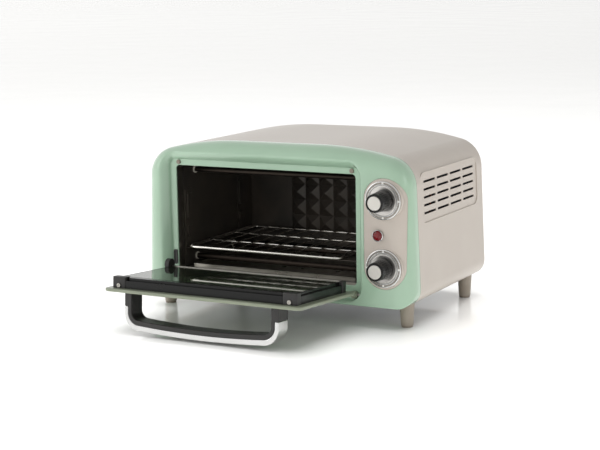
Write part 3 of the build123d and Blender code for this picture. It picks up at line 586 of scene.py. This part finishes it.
# %% Panel from rings
panel_proud, panel_thick, rim_radius, panel_gap = 0.7, 2.2, 1.5, 0.2
panel_rings = []
for share in steps(5, 0.0, 1.0):
    ring = stadium((panel_radius - panel_gap) * share)
    panel_rings.append([at(x, rolled_depth(x, z) - panel_proud + panel_thick, z) for x, z in ring])
ring = stadium(panel_radius - panel_gap)
panel_rings.append([at(x, rolled_depth(x, z) - panel_proud + panel_thick, z) for x, z in ring])
for turn in steps(6, 0.0, pi / 2):
    ring = stadium(panel_radius - panel_gap - rim_radius * (1 - cos(turn)))
    sink = rim_radius * (1 - sin(turn)) - panel_proud
    panel_rings.append([at(x, rolled_depth(x, z) + sink, z) for x, z in ring])
for share in steps(15, 0.0, 1.0) + [1.0]:
    ring = stadium((panel_radius - panel_gap - rim_radius) * (1 - share))
    panel_rings.append([at(x, rolled_depth(x, z) - panel_proud, z) for x, z in ring])
panel_mesh = stitched("panel_sheet", panel_rings)
form = bmesh.new()
form.from_mesh(panel_mesh)
bmesh.ops.remove_doubles(form, verts=form.verts, dist=0.01 * mm)
bmesh.ops.recalc_face_normals(form, faces=form.faces)
form.to_mesh(panel_mesh)
form.free()
show("panel", panel_mesh, "greige_enamel", "oven", ["control_panel"])

# %% [markdown]
# ## Turned pieces
# Bezels, dishes, knobs, caps and the lamp are all round about an axis that points out of the
# panel. Each is a profile of radii and depths, its corners eased by small arcs because a sharp edge
# catches no light, spun into a closed mesh. A knob's grip is the same spin with its radius pressed
# in by 24 shallow flutes.

# %% Easing and spinning a profile
def eased(profile, radius, closed=False):
    """The profile with every corner rounded by a short curve of about that radius."""
    made = []
    count = len(profile)
    for index, corner in enumerate(profile):
        if not closed and index in (0, count - 1):
            made.append(corner)
            continue
        corner = Vector(corner)
        before, after = Vector(profile[index - 1]) - corner, Vector(profile[(index + 1) % count]) - corner
        reach_before, reach_after = (min(radius, 0.45 * edge.length) for edge in (before, after))
        first, last = corner + before.normalized() * reach_before, corner + after.normalized() * reach_after
        for t in (0.0, 0.25, 0.5, 0.75, 1.0):
            made.append(tuple(first * (1 - t) ** 2 + corner * 2 * t * (1 - t) + last * t ** 2))
    return made


def spun(name, centre, profile, closed=False, around=96, pressed=None):
    """The profile turned about the Y axis through the centre; `pressed` gives a flute's depth."""
    x, z = centre.x / mm, centre.z / mm
    points = []
    for radius, depth in profile:
        for k in range(around):
            angle = 2 * pi * k / around
            out = radius - (pressed(angle, radius, depth) if pressed else 0.0)
            points.append(at(x + out * cos(angle), depth, z + out * sin(angle)))
    rows = len(profile)
    faces = [(r * around + k, r * around + (k + 1) % around, (r + 1) % rows * around + (k + 1) % around,
              (r + 1) % rows * around + k)
             for r in range(rows if closed else rows - 1) for k in range(around)]
    return closed_mesh(name, points, faces)


# %% [markdown]
# A dial has a chrome bezel with a flat marked ring between two lips, a turned dish inside it and a
# dark groove where they meet. The four marks are printed pads, thin curved blocks on the ring.

# %% Bezels, dishes and marks
lip_front, ring_front, seat = -3.4, -2.3, -1.0
boss_radius = 24.6
for dial, centre in dial_centres.items():
    boss = [(5.2, 4.6), (boss_radius, 4.6), (boss_radius, seat), (5.2, seat)]
    show(f"boss_{dial}", spun(f"boss_{dial}", centre, eased(boss, 0.7, True), True), "greige_enamel", "oven")
    bezel = [(19.0, seat), (19.0, lip_front), (19.9, lip_front), (20.1, ring_front), (21.8, ring_front),
             (22.0, lip_front), (23.4, lip_front + 0.3), (23.4, seat)]
    show(f"bezel_{dial}", spun(f"bezel_{dial}", centre, eased(bezel, 0.35, True), True), "chrome", "oven",
         [f"dial_bezel_{dial}"])
    ring = [(20.15, seat - 0.3), (20.15, ring_front - 0.08), (21.75, ring_front - 0.08), (21.75, seat - 0.3)]
    show(f"ring_{dial}", spun(f"ring_{dial}", centre, ring, True), "ring_silver", "oven")
    dish = [(5.2, seat), (5.2, -1.9), (9.5, -1.9), (16.2, -2.95), (16.5, -2.9), (16.7, -2.0), (18.2, -2.0),
            (18.4, -2.9), (18.9, -2.9), (18.9, seat)]
    show(f"dish_{dial}", spun(f"dish_{dial}", centre, eased(dish, 0.25, True), True),
         f"dial_silver_{dial}", "oven", [f"dial_dish_{dial}"])
    marks, blocks = [], []
    for quarter in range(4):
        base = len(marks)
        for height in (0.0, 0.9):
            for radius in (19.7, 22.3):
                for k in range(5):
                    angle = quarter * pi / 2 + (k - 2) / 4 * 2.3 / 21
                    across, up = centre.x / mm + radius * cos(angle), centre.z / mm + radius * sin(angle)
                    marks.append(at(across, ring_front - height, up))
        for k in range(4):
            low_in, low_out, top_in, top_out = (base + row * 5 + k for row in range(4))
            blocks += [(low_in, low_in + 1, low_out + 1, low_out), (top_in, top_in + 1, top_out + 1, top_out),
                       (low_in, low_in + 1, top_in + 1, top_in), (low_out, low_out + 1, top_out + 1, top_out)]
        for k in (0, 4):
            blocks.append((base + k, base + 5 + k, base + 15 + k, base + 10 + k))
    show(f"marks_{dial}", closed_mesh(f"marks_{dial}", marks, blocks), "tick_white", "oven",
         [f"dial_ticks_{dial}"])

# %% Knobs and their caps
knob_front, knob_back = (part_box("knob_timer")[index].y / mm - front / mm for index in (0, 1))


def flute(angle, radius, depth):
    """Depth of the grip's flutes: shallow hollows that fade out near the knob's two ends."""
    along = (depth - knob_front) / (knob_back - knob_front)
    fade = min(1.0, max(0.0, (along - 0.1) / 0.12), max(0.0, (0.97 - along) / 0.1))
    return 0.3 * fade * max(0.0, cos(24 * angle)) ** 2 if radius > 10 else 0.0


for dial, centre in dial_centres.items():
    skirt = [(0.0, knob_back), (12.6, knob_back)]
    grip = [(12.6 - 1.3 * t, knob_back + (knob_front + 0.3 - knob_back) * t) for t in steps(14, 0.04, 0.98)]
    nose = [(11.2, knob_front + 0.2), (10.6, knob_front), (9.0, knob_front), (8.7, knob_front + 1.2)]
    nose.append((0.0, knob_front + 1.2))
    barrel = skirt + grip + eased([grip[-1], *nose], 0.5)[1:]
    show(f"grip_{dial}", spun(f"grip_{dial}", centre, barrel, around=192, pressed=flute), "black_gloss",
         f"{dial}_knob", [f"knob_{dial}"], 55)
    dome = [(0.0, knob_front + 1.5), (8.5, knob_front + 1.5), (8.5, knob_front - 0.1)]
    dome.append((8.0, knob_front - 0.35))
    dome += [(8.0 * (1 - t), knob_front - 0.35 - 0.05 * sin(t * pi / 2)) for t in steps(6, 1 / 6, 1.0)]
    dome += [(0.0, knob_front - 0.4)]
    show(f"cap_{dial}", spun(f"cap_{dial}", centre, eased(dome, 0.3)), "cap_silver", f"{dial}_knob",
         [f"knob_cap_{dial}"])

# %% [markdown]
# The lamp is a moulded lens with a rounded crown and a ring of facets, pushed into a thin chrome
# ring.

# %% Pilot lamp
lens_low, lens_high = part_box("lamp_lens")
lamp_centre = Vector(((lens_low.x + lens_high.x) / 2, front, (lens_low.z + lens_high.z) / 2))
lens_front = (lens_low.y - front) / mm
lens = [(0.0, 1.4), (5.9, 1.4), (6.0, lens_front + 1.5), (4.4, lens_front + 0.4), (2.4, lens_front)]
lens.append((0.0, lens_front))
show("lens", spun("lens", lamp_centre, eased(lens, 0.4), around=20), "lamp_red", "oven", ["lamp_lens"], 20)
ring = [(6.1, 1.4), (6.1, lens_front + 1.0), (6.6, lens_front + 0.5), (7.2, lens_front + 1.1), (7.3, 1.4)]
show("lamp_ring", spun("lamp_ring", lamp_centre, eased(ring, 0.3, True), True, 64), "chrome", "oven",
     ["lamp_bezel"])

# %% [markdown]
# ## Softened pieces
# A moulded or pressed piece never has a knife edge, and the bright line along a rounded one is what
# tells the eye its thickness. Where a node's shape is right, a copy of its mesh is merged, its flat
# faces are joined up, and a live Bevel rounds the edges; the node itself is left alone.

# %% Round the edges of a node's copy
def softened(node, width, body, finish, corner=28):
    form = bmesh.new()
    form.from_mesh(nodes[node].data)
    bmesh.ops.remove_doubles(form, verts=form.verts, dist=0.002 * mm)
    bmesh.ops.dissolve_limit(form, angle_limit=radians(0.6), verts=form.verts, edges=form.edges)
    mesh = bpy.data.meshes.new(node + "_soft")
    form.to_mesh(mesh)
    form.free()
    made = show(node + "_soft", mesh, finish, body, [node], corner)
    bevel = made.modifiers.new("edges", "BEVEL")
    bevel.width, bevel.segments, bevel.limit_method = width * mm, 3, "ANGLE"
    bevel.angle_limit, bevel.harden_normals = radians(corner), True
    return made


for node, width, body, finish in (
        ("door_handle", 1.0, "door", "black_plastic"), ("handle_trim", 1.2, "door", "chrome"),
        ("door_inner_frame", 0.8, "door", "black_gloss"), ("corner_caps_free", 0.6, "door", "black_plastic"),
        ("corner_caps_hinge", 0.6, "door", "black_plastic"), ("glass_strip", 0.2, "door", "bright_steel"),
        ("door_glass", 0.5, "door", "tempered_glass"), ("door_plate", 0.8, "door", "door_enamel"),
        ("jamb_plate", 0.3, "oven", "black_plastic"),
        ("door_buffers", 0.4, "oven", "pad_silicone"), ("rear_spacers", 0.8, "oven", "black_plastic"),
        ("cord_gland", 0.6, "oven", "black_plastic"), ("foot_pads", 0.5, "oven", "pad_silicone")):
    softened(node, width, body, finish)

# %% [markdown]
# ## Wire rack
# Real racks are bent from wire and spot-welded: one closed hoop, with straight rods across it. Laid
# out by hand that is a dozen near-identical tubes, so a node tree grows them from named sizes: a
# filleted rectangle swept with a round section, and two rows of points that each carry one rod.

# %% Growing pieces with geometry nodes
def grow(name, build, sizes, finish, body, stands_for, corner=40):
    """Builds a tree with named inputs, runs it once and shows the plain mesh that comes out."""
    tree = bpy.data.node_groups.new(name, "GeometryNodeTree")
    tree.interface.new_socket("Geometry", in_out="OUTPUT", socket_type="NodeSocketGeometry")
    for label, value in sizes.items():
        kind = "NodeSocketInt" if isinstance(value, int) else "NodeSocketFloat"
        kind = "NodeSocketVector" if isinstance(value, (tuple, Vector)) else kind
        tree.interface.new_socket(label, in_out="INPUT", socket_type=kind)
    given = add(tree, "NodeGroupInput").outputs
    real = add(tree, "GeometryNodeRealizeInstances", links={"Geometry": build(tree, given)})
    dressed = add(tree, "GeometryNodeSetMaterial", {"Material": finishes[finish]},
                  {"Geometry": real.outputs[0]})
    add(tree, "NodeGroupOutput", links={"Geometry": dressed.outputs[0]})
    carrier = bpy.data.objects.new(name + "_carrier", bpy.data.meshes.new(name + "_seed"))
    bpy.context.scene.collection.objects.link(carrier)
    modifier = carrier.modifiers.new(name, "NODES")
    modifier.node_group = tree
    for item in tree.interface.items_tree:
        if item.in_out == "INPUT":
            value = sizes[item.name]
            modifier[item.identifier] = tuple(value) if isinstance(value, (tuple, Vector)) else value
    mesh = bpy.data.meshes.new_from_object(carrier.evaluated_get(bpy.context.evaluated_depsgraph_get()))
    bpy.data.objects.remove(carrier)
    return show(name, mesh, finish, body, stands_for, corner)


def rack_tree(tree, size):
    """A closed hoop, rods from front to back on it and cross bars under them."""
    wire = add(tree, "GeometryNodeCurvePrimitiveCircle", {"Resolution": 16}, {"Radius": size["Wire"]})
    rod = add(tree, "GeometryNodeCurvePrimitiveCircle", {"Resolution": 12}, {"Radius": size["Rod"]})
    frame_line = add(tree, "GeometryNodeCurvePrimitiveQuadrilateral", links={"Width": size["Width"],
                                                                             "Height": size["Length"]})
    bent = add(tree, "GeometryNodeFilletCurve", {"mode": "POLY", "Count": 10},
               {"Curve": frame_line.outputs["Curve"], "Radius": size["Bend"]})
    hoop = add(tree, "GeometryNodeCurveToMesh", links={"Curve": bent.outputs["Curve"],
                                                       "Profile Curve": wire.outputs["Curve"]})
    made = [hoop.outputs["Mesh"]]
    for across, count, lift in ((False, "Rods", 0.9), (True, "Bars", -0.3)):
        row = add(tree, "GeometryNodeMeshLine", {"mode": "END_POINTS"}, {"Count": size[count]})
        half = add(tree, "ShaderNodeMath", {"operation": "MULTIPLY", 1: 0.175 if across else 0.466},
                   {0: size["Length" if across else "Width"]})
        other = add(tree, "ShaderNodeMath", {"operation": "MULTIPLY", 1: -1.0}, {0: half.outputs[0]})
        for socket, value in (("Offset", half), ("Start Location", other)):
            spot = add(tree, "ShaderNodeCombineXYZ", {"Z": lift * mm},
                       {"Y" if across else "X": value.outputs[0]})
            tree.links.new(spot.outputs[0], row.inputs[socket])
        run = add(tree, "ShaderNodeMath", {"operation": "MULTIPLY", 1: 0.5},
                  {0: size["Width" if across else "Length"]})
        back = add(tree, "ShaderNodeMath", {"operation": "MULTIPLY", 1: -1.0}, {0: run.outputs[0]})
        line = add(tree, "GeometryNodeCurvePrimitiveLine")
        for socket, value in (("Start", back), ("End", run)):
            spot = add(tree, "ShaderNodeCombineXYZ", links={"X" if across else "Y": value.outputs[0]})
            tree.links.new(spot.outputs[0], line.inputs[socket])
        bar = add(tree, "GeometryNodeCurveToMesh", {"Fill Caps": True},
                  {"Curve": line.outputs["Curve"], "Profile Curve": rod.outputs["Curve"]})
        placed = add(tree, "GeometryNodeInstanceOnPoints", links={"Points": row.outputs["Mesh"],
                                                                 "Instance": bar.outputs["Mesh"]})
        made.append(placed.outputs["Instances"])
    joined = add(tree, "GeometryNodeJoinGeometry")
    for part in made:
        tree.links.new(part, joined.inputs["Geometry"])
    return add(tree, "GeometryNodeTransform", links={"Geometry": joined.outputs[0],
                                                    "Translation": size["Place"]}).outputs[0]


rack_low, rack_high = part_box("wire_rack")
wire_radius, rod_radius = 1.8 * mm, 1.15 * mm
rack_middle = (rack_low + rack_high) / 2
rack_middle.z = rack_low.z + wire_radius
rack_sizes = {"Width": rack_high.x - rack_low.x - 2 * wire_radius,
              "Length": rack_high.y - rack_low.y - 2 * wire_radius, "Bend": 12 * mm,
              "Wire": wire_radius, "Rod": rod_radius, "Rods": 11, "Bars": 2, "Place": rack_middle}
grow("rack", rack_tree, rack_sizes, "plated_wire", "rack", ["wire_rack"])

# %% [markdown]
# ## Studio
# A pale glossy table, a white surround and soft lamps: one broad one from the left, which draws the
# bright line down the fascia's rolled edge, a weak one from the right, and one overhead that lights
# the table alone. The camera stands to the right of the door and a little above it, far enough off
# to keep the sides nearly parallel, as a product picture does.

# %% Floor
def glossy_table(name):
    material, tree, surface, place = start(name, "#f4f4f3", 0.16, Coat_Weight=0.3)
    drift(tree, surface, place, ("#f3f3f2", "#f6f6f5"), 400, 0.03)
    relief(tree, surface, place, 30.0, 0.01)
    return material


reach = 40.0
floor_mesh = bpy.data.meshes.new("floor")
floor_corners = [(-reach, -reach, 0), (reach, -reach, 0), (reach, reach, 0), (-reach, reach, 0)]
floor_mesh.from_pydata(floor_corners, [], [(0, 1, 2, 3)])
floor = bpy.data.objects.new("floor", floor_mesh)
bpy.context.scene.collection.objects.link(floor)
floor_mesh.materials.append(glossy_table("white gloss laminate"))
floor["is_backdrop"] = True

# %% Lamps and surround
def softbox(name, place, target, size, power):
    """A rectangular area lamp at a point, aimed at another."""
    lamp = bpy.data.lights.new(name, "AREA")
    lamp.shape, lamp.size, lamp.size_y = "RECTANGLE", size[0], size[1]
    lamp.energy = power
    holder = bpy.data.objects.new(name, lamp)
    holder.location = place
    holder.rotation_euler = (Vector(target) - Vector(place)).to_track_quat("-Z", "Y").to_euler()
    bpy.context.scene.collection.objects.link(holder)
    return holder


aim = (0.0, 0.0, 0.12)
softbox("left softbox", (-1.7, -1.3, 0.9), aim, (1.4, 1.2), 7)
softbox("right softbox", (1.9, -0.2, 0.8), aim, (0.5, 0.9), 2)
table_lamp = softbox("table lamp", (0.0, 0.0, 3.0), (0.0, 0.0, 0.0), (3.0, 3.0), 120)
table_only = bpy.data.collections.new("lit by the table lamp")
table_only.objects.link(floor)
table_lamp.light_linking.receiver_collection = table_only

world = bpy.data.worlds.new("white surround")
bpy.context.scene.world = world
world.use_nodes = True
sky = world.node_tree
sky.nodes.clear()
ray = add(sky, "ShaderNodeLightPath")
way = add(sky, "ShaderNodeSeparateXYZ", links={0: add(sky, "ShaderNodeTexCoord").outputs["Generated"]})
across = add(sky, "ShaderNodeMapRange", {"From Min": -1.0, "From Max": 1.0, "To Min": 1.14, "To Max": 0.62},
             {"Value": way.outputs["X"]})
behind = add(sky, "ShaderNodeMapRange", {"From Min": -1.0, "From Max": 1.0, "To Min": 1.12, "To Max": 1.04},
             {"Value": way.outputs["Y"]})
upwards = add(sky, "ShaderNodeMapRange", {"From Min": 0.0, "From Max": 0.9, "To Min": 1.0, "To Max": 0.65},
              {"Value": way.outputs["Z"]})
level = add(sky, "ShaderNodeMath", {"operation": "MULTIPLY"}, {0: across.outputs[0], 1: behind.outputs[0]})
falloff = add(sky, "ShaderNodeMath", {"operation": "MULTIPLY"}, {0: level.outputs[0], 1: upwards.outputs[0]})
seen = add(sky, "ShaderNodeBackground", {"Color": (1, 1, 1, 1), "Strength": 1.0})
cast = add(sky, "ShaderNodeBackground", {"Color": (1.0, 0.995, 0.985, 1)}, {"Strength": falloff.outputs[0]})
surround = add(sky, "ShaderNodeMixShader", links={"Fac": ray.outputs["Is Camera Ray"],
                                                  1: cast.outputs["Background"],
                                                  2: seen.outputs["Background"]})
add(sky, "ShaderNodeOutputWorld", links={"Surface": surround.outputs["Shader"]})

# %% Camera
yaw, pitch, tilt = radians(28.32), radians(9.64), radians(-0.96)
forward = Vector((-sin(yaw) * cos(pitch), cos(yaw) * cos(pitch), -sin(pitch)))
level_right = Vector((cos(yaw), sin(yaw), 0))
level_up = level_right.cross(forward)
right = level_right * cos(tilt) + level_up * sin(tilt)
up = level_up * cos(tilt) - level_right * sin(tilt)
camera_data = bpy.data.cameras.new("camera")
camera_data.lens, camera_data.sensor_width = 89.87, 36.0
camera = bpy.data.objects.new("camera", camera_data)
turn = Matrix((right, up, -forward)).transposed().to_4x4()
camera.matrix_world = Matrix.Translation((0.90718, front - 1.60494, 0.43274)) @ turn
bpy.context.scene.collection.objects.link(camera)
bpy.context.scene.camera = camera
bpy.context.scene.view_settings.view_transform = "Standard"

# %% Sizes and finish
low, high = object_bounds()
print("visual box", [round(part, 4) for part in (*low, *high)])
